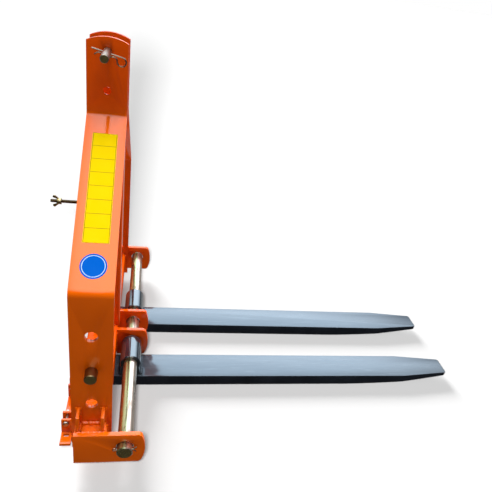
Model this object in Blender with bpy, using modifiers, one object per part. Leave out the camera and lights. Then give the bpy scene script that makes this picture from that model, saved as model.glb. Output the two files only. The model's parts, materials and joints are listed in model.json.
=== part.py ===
"""Three-point-hitch pallet fork attachment: an A-shaped welded frame with two sliding, folding forks.

Units are metres. +X points to the fork tips, +Z is up, and -Y is the right-hand side for a person
who stands behind the frame and looks towards the fork tips.

The dimensions below are measured from a datum point: x from the middle of the straps' width, y from
the frame's centre plane and z from the foot of the lugs. Each finished piece is then moved so that
the origin lies on the ground, in the middle of the whole object's bounding box.
"""

import math

import bmesh
import bpy
from mathutils import Matrix, Vector

# ---------------------------------------------------------------- driving dimensions
GAP = 0.0003                      # clearance left between pieces that touch
COLLECTION = "pallet_fork_attachment"

# Three-point hitch, category 1
LOWER_SPREAD = 0.683              # between the outer faces of the two straps
MAST_HEIGHT = 0.460               # lower hitch pins to the lower top-link hole
LOWER_PIN_RADIUS = 0.012
TOP_PIN_RADIUS = 0.008
TOP_CLEVIS_GAP = 0.054            # between the straps at the top link

# Straps: bent flat bars
STRAP_WIDTH = 0.080
STRAP_THICK = 0.008
STRAP_BEND_RADIUS = 0.012         # inside radius of both bends
STRAP_LOWER_BEND_Z = 0.400
STRAP_UPPER_BEND_Z = 0.630
STRAP_TOP_Z = 0.780
STRAP_TOP_DROP = 0.010            # how far the arched top falls to its corners
STRAP_BEND_STEPS = 4
LOWER_HOLE_Z = 0.132
LOWER_HOLE_PITCH = 0.086
TOP_HOLE_PITCH = 0.075

# Lower beam and the plates on it
BEAM_REAR_X = -0.040              # flush with the straps
STUB_REAR_X = -0.033              # the stubs outside the straps are a little shallower
BEAM_FRONT_X = 0.031
BEAM_BOTTOM_Z = 0.004
BEAM_TOP_Z = 0.076
BEAM_WALL = 0.005
BEAM_CORNER = 0.006
POST_FRONT_X = 0.036
POST_DEPTH = 0.070
POST_WIDTH = 0.050
POST_WALL = 0.004
POST_CORNER = 0.005
POST_TOP_Z = 0.650
LUG_FRONT_X = 0.110
LUG_HEIGHT = 0.080
LUG_THICK = 0.010
LUG_NOSE_DROP = 0.009             # how far the arched nose falls back at its corners
LUG_NOSE_CORNER = 0.004           # cut off each corner of the nose
LUG_BORE_RADIUS = 0.0182
END_LUG_OUTER_Y = 0.378
MID_LUG_OUTER_Y = {"right": 0.0485, "left": 0.0405}
GUSSET_THICK = 0.0065
GUSSET_X = (-0.025, 0.023)
GUSSET_TOP_Z = 0.1235             # at the strap
GUSSET_OUTER_TOP_Z = 0.119        # at the end lug

# Fork shaft and forks
SHAFT_X = 0.069
SHAFT_Z = 0.043
SHAFT_RADIUS = 0.0165
SHAFT_OVERHANG = 0.014
SHAFT_CHAMFER = 0.002
SHAFT_REST_GAP = 0.0002           # the shaft lies this far above the bottom of the lugs' bores
EYE_CLEARANCE = 0.0005            # radial, shaft in eye tubes
EYE_RADIUS = 0.0253
EYE_CHAMFER = 0.002
FORK_WIDTH = 0.080
FORK_THICK = 0.030
FORK_TOP_Z = 0.003
FORK_REAR_X = -0.050
FORK_TIP_X = 0.954
FORK_TAPER_LENGTH = 0.135         # plan taper at the tip
FORK_TIP_WIDTH = 0.054
FORK_UNDERCUT_LENGTH = 0.300      # underside taper at the tip
FORK_TIP_THICK = 0.011
FORK_CORNER_RADIUS = 0.006
SADDLE_LENGTH = 0.052
SADDLE_INSET = 0.003              # from each side of the blade
FORK_INNER_Y = {"right": -0.0535, "left": 0.0730}   # end of each fork nearer the middle

# Hitch pins and split pins
COTTER_WIRE = 0.0011
COTTER_EYE_RADIUS = 0.0032
COTTER_HOLE_RADIUS = 0.0027
COTTER_OFFSET = 0.0045            # outside the end lugs
CLIP_WIRE = 0.0014
CLIP_HOLE_RADIUS = 0.0020
CLIP_LOOP_RADIUS = 0.0086
CLIP_LOOP_U = 0.0300              # the loop's centre, along the straight leg
CLIP_Y = -0.047
CLIP_TILT = math.radians(-12)
TOP_PIN_OVERHANG = 0.075
TOP_PIN_HEAD_RADIUS = 0.014
TOP_PIN_HEAD_LENGTH = 0.008
LOWER_PIN_OVERHANG = 0.023
LOWER_PIN_CHAMFER = 0.0012
LOWER_PIN_THREAD_RADIUS = 0.010
LOWER_PIN_THREAD_END = 0.006      # thread left showing beyond the nut
LOWER_NUT_THICK = 0.016
LOWER_NUT_ACROSS = 0.030
LOWER_WASHER_THICK = 0.003
LOWER_WASHER_RADIUS = 0.0185

# Rear stud and wing nut
REAR_STUD_Z = 0.411
REAR_STUD_RADIUS = 0.004
REAR_STUD_TIP_X = -0.124
REAR_STUD_INSIDE = 0.012          # reach inside the post
STUD_NUT_THICK = 0.0065
STUD_NUT_ACROSS = 0.013
WING_NUT_X = -0.1065
WING_WASHER_X = -0.1015
WING_WASHER_THICK = 0.0014
WING_WASHER_RADIUS = 0.0075
WING_HUB_LENGTH = 0.0085
WING_HUB_FRONT = 0.0040           # hub ahead of WING_NUT_X
WING_HUB_RADIUS = 0.0070
WING_HUB_TAPER = 0.0055           # length of the hub that narrows to the rear
WING_HUB_REAR_RADIUS = 0.0058
WING_THICK = 0.0026

# Rear brackets
BRACKET_REAR_X = -0.062
BRACKET_TOP_Z = 0.040
BRACKET_THICK = 0.006
BRACKET_Y = (0.205, 0.362)
SLOT_Y = 0.340
SLOT_HALF_WIDTH = 0.0032
SLOT_HALF_STRAIGHT = 0.003
EAR_HEIGHT = 0.034
EAR_THICK = 0.005
EAR_PITCH = 0.0205
EAR_PAIR_Y = (0.2080, 0.3060)     # each pair's face nearest the middle
BRACKET_BOLT_RADIUS = 0.003
BRACKET_NUT_ACROSS = 0.010
BRACKET_NUT_THICK = 0.005
BRACKET_HEAD_THICK = 0.004
BRACKET_BOLT_END = 0.003          # thread left showing beyond the nut

# Values worked out from the driving dimensions
STRAP_LOWER_Y = LOWER_SPREAD / 2
STRAP_UPPER_Y = TOP_CLEVIS_GAP / 2 + STRAP_THICK
LOWER_PIN_Z = LOWER_HOLE_Z + LOWER_HOLE_PITCH
TOP_HOLE_Z = LOWER_PIN_Z + MAST_HEIGHT
TOP_PIN_Z = TOP_HOLE_Z + TOP_HOLE_PITCH
POST_REAR_X = POST_FRONT_X - POST_DEPTH
STRAP_INNER_Y = STRAP_LOWER_Y - STRAP_THICK
END_LUG_INNER_Y = END_LUG_OUTER_Y - LUG_THICK
LUG_BORE_Z = SHAFT_Z + LUG_BORE_RADIUS - SHAFT_RADIUS - SHAFT_REST_GAP
COTTER_Y = END_LUG_OUTER_Y + COTTER_OFFSET
EYE_BORE_RADIUS = SHAFT_RADIUS + EYE_CLEARANCE
FORK_BOTTOM_Z = FORK_TOP_Z - FORK_THICK
WING_HUB_REAR_X = WING_NUT_X + WING_HUB_FRONT - WING_HUB_LENGTH
BRACKET_FRONT_X = -STRAP_WIDTH / 2 - GAP
EAR_HOLE_X = -0.0525
EAR_HOLE_Z = BRACKET_TOP_Z + 0.026
DATUM = Vector(((REAR_STUD_TIP_X + FORK_TIP_X) / -2, 0, -FORK_BOTTOM_Z))   # seen from the origin
SIDES = {"right": -1, "left": 1}

# Paint and metal: colour, roughness, metallic
ORANGE = ((0.80, 0.12, 0.008), 0.35, 0.0)
FORK_BLACK = ((0.035, 0.045, 0.055), 0.30, 0.0)
YELLOW_ZINC = ((0.62, 0.50, 0.28), 0.28, 1.0)
WHITE_ZINC = ((0.60, 0.60, 0.58), 0.32, 1.0)
BRASSY_ZINC = ((0.68, 0.55, 0.25), 0.35, 1.0)


# ---------------------------------------------------------------- scene and materials
def clear_scene():
    """Remove whatever the file holds, so that the script starts from nothing."""
    for old in list(bpy.data.objects):
        bpy.data.objects.remove(old, do_unlink=True)


def new_collection(name):
    """Add a collection to the scene."""
    made = bpy.data.collections.new(name)
    bpy.context.scene.collection.children.link(made)
    return made


def finish_part(obj, name, finish):
    """Name a piece, move it to the object's origin and give it a material of its own."""
    obj.matrix_world = Matrix.Translation(DATUM) @ obj.matrix_world
    obj.name = name
    obj.data.name = name
    colour, roughness, metallic = finish
    material = bpy.data.materials.new(name + "_material")
    material.use_nodes = True
    shader = material.node_tree.nodes["Principled BSDF"]
    shader.inputs["Base Color"].default_value = (*colour, 1.0)
    shader.inputs["Roughness"].default_value = roughness
    shader.inputs["Metallic"].default_value = metallic
    obj.data.materials.clear()
    obj.data.materials.append(material)
    return obj


# ---------------------------------------------------------------- shape helpers
def arc(centre, radius, start_deg, end_deg, steps):
    """Points along an arc, both ends included."""
    points = []
    for i in range(steps + 1):
        angle = math.radians(start_deg + (end_deg - start_deg) * i / steps)
        points.append((centre[0] + radius * math.cos(angle), centre[1] + radius * math.sin(angle)))
    return points


def circle(centre, radius, steps):
    """A closed ring of points."""
    return arc(centre, radius, 0, 360, steps)[:-1]


def rounded_box(low, high, radius, steps=4):
    """A rectangle with rounded corners."""
    return (
        arc((high[0] - radius, high[1] - radius), radius, 0, 90, steps)
        + arc((low[0] + radius, high[1] - radius), radius, 90, 180, steps)
        + arc((low[0] + radius, low[1] + radius), radius, 180, 270, steps)
        + arc((high[0] - radius, low[1] + radius), radius, 270, 360, steps)
    )


PLANES = {
    "XY": Matrix.Identity(3),                                     # thickness along Z
    "XZ": Matrix(((1, 0, 0), (0, 0, -1), (0, 1, 0))),             # thickness along Y
    "YZ": Matrix(((0, 0, 1), (1, 0, 0), (0, 1, 0))),              # thickness along X
}


NORMALS = {"XY": Vector((0, 0, 1)), "XZ": Vector((0, 1, 0)), "YZ": Vector((1, 0, 0))}


def to_mesh(curve_object):
    """Turn a curve object into a welded mesh object at the same place."""
    graph = bpy.context.evaluated_depsgraph_get()
    mesh = bpy.data.meshes.new_from_object(curve_object.evaluated_get(graph))
    work = bmesh.new()
    work.from_mesh(mesh)
    bmesh.ops.remove_doubles(work, verts=work.verts, dist=0.00001)
    bmesh.ops.recalc_face_normals(work, faces=work.faces)
    work.to_mesh(mesh)
    work.free()
    made = bpy.data.objects.new(curve_object.name + "_mesh", mesh)
    made.matrix_world = curve_object.matrix_world.copy()
    parts.objects.link(made)
    curve = curve_object.data
    bpy.data.objects.remove(curve_object, do_unlink=True)
    bpy.data.curves.remove(curve)
    return made


def slab(loops, plane, middle, thick):
    """A flat plate: outline loops in a plane, the first outside and the others holes."""
    curve = bpy.data.curves.new("outline", "CURVE")
    curve.dimensions = "2D"
    curve.fill_mode = "BOTH"
    curve.extrude = thick / 2
    for loop in loops:
        spline = curve.splines.new("POLY")
        spline.points.add(len(loop) - 1)
        for point, (u, v) in zip(spline.points, loop):
            point.co = (u, v, 0, 1)
        spline.use_cyclic_u = True
    turn = PLANES[plane].to_4x4()
    outline = bpy.data.objects.new("outline", curve)
    outline.matrix_world = Matrix.Translation(NORMALS[plane] * middle) @ turn
    parts.objects.link(outline)
    bpy.context.view_layer.update()
    return to_mesh(outline)


AXES = {
    "X": Matrix.Rotation(math.radians(90), 4, "Y"),
    "Y": Matrix.Rotation(math.radians(-90), 4, "X"),
    "Z": Matrix.Identity(4),
}


def rod(axis, start, length, radius, sides=32):
    """A plain cylinder that starts at a point and runs along an axis."""
    mesh = bpy.data.meshes.new("rod")
    work = bmesh.new()
    bmesh.ops.create_cone(
        work, cap_ends=True, segments=sides, radius1=radius, radius2=radius, depth=length
    )
    bmesh.ops.translate(work, verts=work.verts, vec=(0, 0, length / 2))
    work.to_mesh(mesh)
    work.free()
    made = bpy.data.objects.new("rod", mesh)
    made.matrix_world = Matrix.Translation(start) @ AXES[axis]
    parts.objects.link(made)
    return made


def turned(profile, axis, start, sides=40, closed=False):
    """A turned piece. The profile is (radius, height) from its top, down the outside."""
    mesh = bpy.data.meshes.new("turned")
    work = bmesh.new()
    corners = [work.verts.new((radius, 0, height)) for radius, height in profile]
    for first, second in zip(corners, corners[1:]):
        work.edges.new((first, second))
    if closed:
        work.edges.new((corners[-1], corners[0]))
    work.to_mesh(mesh)
    work.free()
    made = bpy.data.objects.new("turned", mesh)
    parts.objects.link(made)
    screw = made.modifiers.new("Screw", "SCREW")
    screw.steps = sides
    screw.render_steps = sides
    screw.use_merge_vertices = True
    screw.merge_threshold = 0.00001
    made.matrix_world = Matrix.Translation(start) @ AXES[axis]
    bpy.context.view_layer.update()
    graph = bpy.context.evaluated_depsgraph_get()
    made.data = bpy.data.meshes.new_from_object(made.evaluated_get(graph))
    made.modifiers.clear()
    made.data.shade_smooth()
    made.data.set_sharp_from_angle(angle=math.radians(30))
    return made


def wire(points, radius):
    """A bent wire: a tube along a list of points, with capped ends."""
    curve = bpy.data.curves.new("wire", "CURVE")
    curve.dimensions = "3D"
    curve.bevel_depth = radius
    curve.bevel_resolution = 2
    curve.use_fill_caps = True
    spline = curve.splines.new("POLY")
    spline.points.add(len(points) - 1)
    for point, place in zip(spline.points, points):
        point.co = (*place, 1)
    path = bpy.data.objects.new("wire", curve)
    parts.objects.link(path)
    bpy.context.view_layer.update()
    made = to_mesh(path)
    made.data.shade_smooth()
    made.data.set_sharp_from_angle(angle=math.radians(50))
    return made


def cut(obj, tool, operation="DIFFERENCE"):
    """Apply a Boolean with a tool object, and remove the tool."""
    boolean = obj.modifiers.new("Boolean", "BOOLEAN")
    boolean.operation = operation
    boolean.object = tool
    bpy.context.view_layer.update()
    graph = bpy.context.evaluated_depsgraph_get()
    obj.data = bpy.data.meshes.new_from_object(obj.evaluated_get(graph))
    obj.modifiers.clear()
    bpy.data.objects.remove(tool, do_unlink=True)
    return obj


def hexagon(centre, across_flats):
    """The six corners of a hexagon."""
    return circle(centre, across_flats / math.sqrt(3), 6)


def hex_nut(plane, middle, thick, centre, across_flats, bore_radius):
    """A hexagon nut with a plain bore."""
    return slab([hexagon(centre, across_flats), circle(centre, bore_radius, 24)],
                plane, middle, thick)


def washer(plane, middle, thick, centre, outer_radius, bore_radius):
    """A flat washer."""
    return slab([circle(centre, outer_radius, 32), circle(centre, bore_radius, 24)],
                plane, middle, thick)


# ---------------------------------------------------------------- welded frame
def strap_outline(side):
    """The strap's edge-on outline in the YZ plane, from the top down its outside and back up."""
    rise = STRAP_UPPER_BEND_Z - STRAP_LOWER_BEND_Z
    run = STRAP_LOWER_Y - STRAP_UPPER_Y
    slope_deg = math.degrees(math.atan2(run, rise))     # tilt of the middle stretch from upright
    half = math.tan(math.radians(slope_deg / 2))
    inside = STRAP_BEND_RADIUS
    outside = inside + STRAP_THICK
    # The upper bend folds outwards, so its centre is on the strap's outer side.
    upper_centre = (STRAP_UPPER_Y + inside, STRAP_UPPER_BEND_Z + inside * half)
    upper_out = arc(upper_centre, inside, 180, 180 + slope_deg, STRAP_BEND_STEPS)
    upper_in = arc(upper_centre, outside, 180 + slope_deg, 180, STRAP_BEND_STEPS)
    # The lower bend folds back to upright, so its centre is on the strap's inner side.
    lower_centre = (STRAP_LOWER_Y - outside, STRAP_LOWER_BEND_Z - outside * half)
    lower_out = arc(lower_centre, outside, slope_deg, 0, STRAP_BEND_STEPS)
    lower_in = arc(lower_centre, inside, 0, slope_deg, STRAP_BEND_STEPS)
    outline = [(STRAP_UPPER_Y, STRAP_TOP_Z)] + upper_out + lower_out
    outline += [(STRAP_LOWER_Y, BEAM_BOTTOM_Z), (STRAP_INNER_Y, BEAM_BOTTOM_Z)]
    outline += lower_in + upper_in + [(STRAP_UPPER_Y - STRAP_THICK, STRAP_TOP_Z)]
    return [(side * y, z) for y, z in outline]


def strap_top_waste():
    """What is sheared off the top of a strap to leave its arched end."""
    half = STRAP_WIDTH / 2
    radius = (half**2 + STRAP_TOP_DROP**2) / (2 * STRAP_TOP_DROP)
    spread = math.degrees(math.asin(half / radius)) * 1.15
    centre = (0, STRAP_TOP_Z - radius)
    arch = arc(centre, radius, 90 - spread, 90 + spread, 20)
    above = STRAP_TOP_Z + 0.03
    return arch + [(arch[-1][0], above), (arch[0][0], above)]


def make_strap(name, side):
    """One bent flat bar, from the beam's underside to the top-link clevis."""
    strap = slab([strap_outline(side)], "YZ", 0, STRAP_WIDTH)
    cut(strap, slab([strap_top_waste()], "XZ", side * STRAP_UPPER_Y, 0.1))
    holes = []
    for i in range(3):
        holes.append((STRAP_LOWER_Y, LOWER_HOLE_Z + i * LOWER_HOLE_PITCH, LOWER_PIN_RADIUS))
    for height in (TOP_HOLE_Z, TOP_PIN_Z):
        holes.append((STRAP_UPPER_Y, height, TOP_PIN_RADIUS))
    for y, z, radius in holes:
        start = (0, side * (y - STRAP_THICK / 2) - 0.02, z)
        cut(strap, rod("Y", start, 0.04, radius + GAP))
    return finish_part(strap, name, ORANGE)


def tube_loops(low, high, wall, corner):
    """The outer and inner outline of a rectangular tube."""
    inner_low = (low[0] + wall, low[1] + wall)
    inner_high = (high[0] - wall, high[1] - wall)
    return [rounded_box(low, high, corner), rounded_box(inner_low, inner_high, corner / 2)]


def make_beam_length(name, rear_x, middle, length):
    """A length of rectangular tube, centred on a point across the frame."""
    loops = tube_loops((rear_x, BEAM_BOTTOM_Z), (BEAM_FRONT_X, BEAM_TOP_Z),
                       BEAM_WALL, BEAM_CORNER)
    return finish_part(slab(loops, "XZ", middle, length), name, ORANGE)


def make_beam():
    """The lower beam, between the straps."""
    return make_beam_length("lower_beam", BEAM_REAR_X, 0, 2 * (STRAP_INNER_Y - GAP))


def make_stub(name, side):
    """A short length of tube, between a strap and its end lug."""
    length = END_LUG_INNER_Y - STRAP_LOWER_Y - 2 * GAP
    middle = side * (END_LUG_INNER_Y + STRAP_LOWER_Y) / 2
    return make_beam_length(name, STUB_REAR_X, middle, length)


def make_post():
    """The centre post, a rectangular tube from the beam to between the straps."""
    loops = tube_loops((POST_REAR_X, -POST_WIDTH / 2), (POST_FRONT_X, POST_WIDTH / 2),
                       POST_WALL, POST_CORNER)
    bottom = BEAM_TOP_Z + GAP
    post = slab(loops, "XY", (bottom + POST_TOP_Z) / 2, POST_TOP_Z - bottom)
    cut(post, rod("X", (POST_REAR_X - 0.01, 0, REAR_STUD_Z), 0.02, REAR_STUD_RADIUS + GAP, 24))
    return finish_part(post, "centre_post", ORANGE)


def lug_outline(rear_x):
    """A lug plate: square at the rear, arched at the nose."""
    half = LUG_HEIGHT / 2
    radius = (half**2 + LUG_NOSE_DROP**2) / (2 * LUG_NOSE_DROP)
    spread = math.degrees(math.asin((half - LUG_NOSE_CORNER) / radius))
    nose = arc((LUG_FRONT_X - radius, half), radius, -spread, spread, 16)
    corner_x = LUG_FRONT_X - LUG_NOSE_DROP - LUG_NOSE_CORNER
    return [(rear_x, 0), (corner_x, 0)] + nose + [(corner_x, LUG_HEIGHT), (rear_x, LUG_HEIGHT)]


def make_lug(name, rear_x, outer_y, side):
    """A plate that carries the fork shaft in its hole."""
    hole = circle((SHAFT_X, LUG_BORE_Z), LUG_BORE_RADIUS, 48)
    middle = side * (outer_y - LUG_THICK / 2)
    return finish_part(slab([lug_outline(rear_x), hole], "XZ", middle, LUG_THICK), name, ORANGE)


def make_gusset(name, x, side):
    """A rib that stands on a beam stub and ties a strap to its end lug."""
    inner = side * (STRAP_LOWER_Y + GAP)
    outer = side * (END_LUG_INNER_Y - GAP)
    bottom = BEAM_TOP_Z + GAP
    outline = [(inner, bottom), (outer, bottom), (outer, GUSSET_OUTER_TOP_Z),
               (inner, GUSSET_TOP_Z)]
    return finish_part(slab([outline], "YZ", x, GUSSET_THICK), name, ORANGE)


# ---------------------------------------------------------------- rear brackets
def make_bracket_plate(name, side):
    """The flat bar behind a strap, with a slot near its outer end."""
    low, high = BRACKET_Y
    middle_x = (BRACKET_REAR_X + BRACKET_FRONT_X) / 2
    slot = arc((middle_x + SLOT_HALF_STRAIGHT, side * SLOT_Y), SLOT_HALF_WIDTH, -90, 90, 8)
    slot += arc((middle_x - SLOT_HALF_STRAIGHT, side * SLOT_Y), SLOT_HALF_WIDTH, 90, 270, 8)
    outline = [(BRACKET_REAR_X, side * low), (BRACKET_FRONT_X, side * low),
               (BRACKET_FRONT_X, side * high), (BRACKET_REAR_X, side * high)]
    plate = slab([outline, slot], "XY", BRACKET_TOP_Z - BRACKET_THICK / 2, BRACKET_THICK)
    return finish_part(plate, name, ORANGE)


def make_bracket_ear(name, inner_y, side):
    """An upright ear of a rear bracket, bored for the bracket's bolt."""
    bottom = BRACKET_TOP_Z + GAP
    outline = rounded_box((BRACKET_REAR_X, bottom), (BEAM_REAR_X - GAP, bottom + EAR_HEIGHT), 0.002)
    hole = circle((EAR_HOLE_X, EAR_HOLE_Z), BRACKET_BOLT_RADIUS + GAP, 20)
    middle = side * (inner_y + EAR_THICK / 2)
    return finish_part(slab([outline, hole], "XZ", middle, EAR_THICK), name, ORANGE)


def make_bracket_bolt(name, pair_y, side):
    """The bolt through a pair of ears, with its head outwards."""
    head_y = pair_y + EAR_PITCH + EAR_THICK + GAP
    tip_y = pair_y - BRACKET_NUT_THICK - BRACKET_BOLT_END
    head_middle = side * (head_y + BRACKET_HEAD_THICK / 2)
    outline = hexagon((EAR_HOLE_X, EAR_HOLE_Z), BRACKET_NUT_ACROSS)
    head = slab([outline], "XZ", head_middle, BRACKET_HEAD_THICK)
    length = head_y + BRACKET_HEAD_THICK / 2 - tip_y
    start_y = min(side * tip_y, head_middle)
    shank = rod("Y", (EAR_HOLE_X, start_y, EAR_HOLE_Z), length, BRACKET_BOLT_RADIUS, 20)
    return finish_part(cut(head, shank, "UNION"), name, WHITE_ZINC)


def make_bracket_nut(name, pair_y, side):
    """The nut on a bracket bolt, against the inner ear."""
    middle = side * (pair_y - GAP - BRACKET_NUT_THICK / 2)
    nut = hex_nut("XZ", middle, BRACKET_NUT_THICK, (EAR_HOLE_X, EAR_HOLE_Z), BRACKET_NUT_ACROSS,
                  BRACKET_BOLT_RADIUS + GAP)
    return finish_part(nut, name, WHITE_ZINC)


def make_bracket(side_name, side):
    """One rear bracket: a plate, two pairs of ears, and a bolt and nut through each pair."""
    make_bracket_plate(side_name + "_bracket_plate", side)
    for i, pair_y in enumerate(EAR_PAIR_Y):
        pair_name = side_name + ("_inner" if i == 0 else "_outer")
        make_bracket_ear(pair_name + "_ear_near", pair_y, side)
        make_bracket_ear(pair_name + "_ear_far", pair_y + EAR_PITCH, side)
        make_bracket_bolt(pair_name + "_ear_bolt", pair_y, side)
        make_bracket_nut(pair_name + "_ear_nut", pair_y, side)


# ---------------------------------------------------------------- hitch pins
def make_lower_pin(name, side):
    """A lower hitch pin: a plain stud outside the strap, threaded inside for its nut."""
    inner = STRAP_INNER_Y - LOWER_WASHER_THICK - LOWER_NUT_THICK - LOWER_PIN_THREAD_END
    outer = STRAP_LOWER_Y + LOWER_PIN_OVERHANG
    length = outer - inner
    chamfer = LOWER_PIN_CHAMFER
    thread = LOWER_PIN_THREAD_RADIUS
    shoulder = STRAP_INNER_Y - inner + 0.001
    profile = [(0, length), (LOWER_PIN_RADIUS - chamfer, length),
               (LOWER_PIN_RADIUS, length - chamfer), (LOWER_PIN_RADIUS, shoulder),
               (thread, shoulder), (thread, chamfer), (thread - chamfer, 0), (0, 0)]
    pin = turned(profile, "Y", (0, inner, LOWER_PIN_Z))
    if side < 0:
        pin.matrix_world = Matrix.Rotation(math.pi, 4, "Z") @ pin.matrix_world
    return finish_part(pin, name, YELLOW_ZINC)


def make_lower_pin_washer(name, side):
    """The washer between a lower pin's nut and the strap."""
    middle = side * (STRAP_INNER_Y - GAP - LOWER_WASHER_THICK / 2)
    made = washer("XZ", middle, LOWER_WASHER_THICK - GAP, (0, LOWER_PIN_Z), LOWER_WASHER_RADIUS,
                  LOWER_PIN_RADIUS)
    return finish_part(made, name, YELLOW_ZINC)


def make_lower_pin_nut(name, side):
    """The nut that holds a lower pin in its strap."""
    middle = side * (STRAP_INNER_Y - GAP - LOWER_WASHER_THICK - LOWER_NUT_THICK / 2)
    made = hex_nut("XZ", middle, LOWER_NUT_THICK - GAP, (0, LOWER_PIN_Z), LOWER_NUT_ACROSS,
                   LOWER_PIN_THREAD_RADIUS + GAP)
    return finish_part(made, name, YELLOW_ZINC)


def make_top_pin():
    """The top link pin, with its head on the left and a cross hole for the clip."""
    near_y = -STRAP_UPPER_Y - TOP_PIN_OVERHANG
    far_y = STRAP_UPPER_Y + GAP + TOP_PIN_HEAD_LENGTH
    length = far_y - near_y
    chamfer = 0.001
    head = length - TOP_PIN_HEAD_LENGTH
    profile = [(0, length), (TOP_PIN_HEAD_RADIUS - chamfer, length),
               (TOP_PIN_HEAD_RADIUS, length - chamfer), (TOP_PIN_HEAD_RADIUS, head),
               (TOP_PIN_RADIUS, head), (TOP_PIN_RADIUS, chamfer),
               (TOP_PIN_RADIUS - chamfer, 0), (0, 0)]
    pin = turned(profile, "Y", (0, near_y, TOP_PIN_Z), 32)
    drill = rod("X", (-0.02, 0, 0), 0.04, CLIP_HOLE_RADIUS, 16)
    drill.matrix_world = (Matrix.Translation((0, CLIP_Y, TOP_PIN_Z))
                          @ Matrix.Rotation(-CLIP_TILT, 4, "Y") @ drill.matrix_world)
    cut(pin, drill)
    return finish_part(pin, "top_link_pin", WHITE_ZINC)


def make_top_clip():
    """The spring clip: a straight leg through the pin, a loop, and a leg bent round the pin."""
    bump_radius = TOP_PIN_RADIUS + CLIP_WIRE + 2 * GAP
    path = [(-0.029, 0), (-0.010, 0), (0.010, 0)]
    path += arc((CLIP_LOOP_U, -CLIP_LOOP_RADIUS), CLIP_LOOP_RADIUS, 90, -180, 12)
    path += [(0.0188, -0.0050), (0.0150, -0.0038), (0.0118, -0.0040)]
    path += arc((0, 0), bump_radius, -28, -152, 8)
    path += [(-0.0118, -0.0040), (-0.0145, -0.0036), (-0.0175, -0.0052), (-0.0220, -0.0098)]
    tilt = Matrix.Rotation(-CLIP_TILT, 4, "Y")
    centre = Vector((0, CLIP_Y, TOP_PIN_Z))
    points = [centre + tilt @ Vector((u, 0, v)) for u, v in path]
    return finish_part(wire(points, CLIP_WIRE), "top_pin_clip", WHITE_ZINC)


# ---------------------------------------------------------------- fork shaft and forks
def make_shaft():
    """The round bar that the forks slide and fold on."""
    half = END_LUG_OUTER_Y + SHAFT_OVERHANG
    length = 2 * half
    chamfer = SHAFT_CHAMFER
    profile = [(0, length), (SHAFT_RADIUS - chamfer, length), (SHAFT_RADIUS, length - chamfer),
               (SHAFT_RADIUS, chamfer), (SHAFT_RADIUS - chamfer, 0), (0, 0)]
    shaft = turned(profile, "Y", (SHAFT_X, -half, SHAFT_Z), 48)
    for side in SIDES.values():
        drill_start = (SHAFT_X - 0.03, side * COTTER_Y, SHAFT_Z)
        cut(shaft, rod("X", drill_start, 0.06, COTTER_HOLE_RADIUS, 16))
    return finish_part(shaft, "fork_shaft", YELLOW_ZINC)


def make_cotter(name, side):
    """A split pin: an eye on the rear side and two legs bent apart on the front side."""
    leg = COTTER_WIRE + 0.00008
    reach = SHAFT_RADIUS + 0.0015
    eye_x = -reach - COTTER_EYE_RADIUS * 0.9
    spread = math.degrees(math.asin(leg / COTTER_EYE_RADIUS))
    path = [(reach + 0.006, leg + 0.006), (reach + 0.002, leg + 0.0018), (reach, leg)]
    path += arc((eye_x, 0), COTTER_EYE_RADIUS, spread, 360 - spread, 12)
    path += [(reach, -leg), (reach + 0.002, -leg - 0.0018), (reach + 0.005, -leg - 0.005)]
    points = [(SHAFT_X + u, side * COTTER_Y, SHAFT_Z + v) for u, v in path]
    return finish_part(wire(points, COTTER_WIRE), name, WHITE_ZINC)


def fork_span(side_name, side):
    """The lateral range that a fork covers, low to high."""
    inner = FORK_INNER_Y[side_name]
    return sorted((inner, inner + side * FORK_WIDTH))


def make_eye_tube(name, span):
    """The thick tube of a fork, which runs on the shaft."""
    length = span[1] - span[0]
    bore = EYE_BORE_RADIUS
    profile = [(bore, length), (EYE_RADIUS - EYE_CHAMFER, length),
               (EYE_RADIUS, length - EYE_CHAMFER), (EYE_RADIUS, EYE_CHAMFER),
               (EYE_RADIUS - EYE_CHAMFER, 0), (bore, 0)]
    tube = turned(profile, "Y", (SHAFT_X, span[0], SHAFT_Z), 48, closed=True)
    return finish_part(tube, name, FORK_BLACK)


def make_saddle(name, span):
    """The block between an eye tube and its blade, hollowed to the tube."""
    low = (SHAFT_X - SADDLE_LENGTH / 2, FORK_TOP_Z + GAP)
    high = (SHAFT_X + SADDLE_LENGTH / 2, SHAFT_Z - EYE_RADIUS * 0.55)
    radius = EYE_RADIUS + GAP
    edge_deg = math.degrees(math.asin((high[1] - SHAFT_Z) / radius))
    hollow = arc((SHAFT_X, SHAFT_Z), radius, edge_deg, -180 - edge_deg, 16)
    outline = [low, (high[0], low[1])] + hollow
    middle = (span[0] + span[1]) / 2
    width = span[1] - span[0] - 2 * SADDLE_INSET
    return finish_part(slab([outline], "XZ", middle, width), name, FORK_BLACK)


def blade_plan(middle):
    """The blade's outline from above, tapered at the tip."""
    half = FORK_WIDTH / 2
    tip = FORK_TIP_WIDTH / 2
    corner = FORK_CORNER_RADIUS
    shoulder_x = FORK_TIP_X - FORK_TAPER_LENGTH
    right_corner = arc((FORK_TIP_X - corner, middle - tip + corner), corner, -80, 0, 5)
    left_corner = arc((FORK_TIP_X - corner, middle + tip - corner), corner, 0, 80, 5)
    return ([(FORK_REAR_X, middle - half), (shoulder_x, middle - half)] + right_corner
            + left_corner + [(shoulder_x, middle + half), (FORK_REAR_X, middle + half)])


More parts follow.
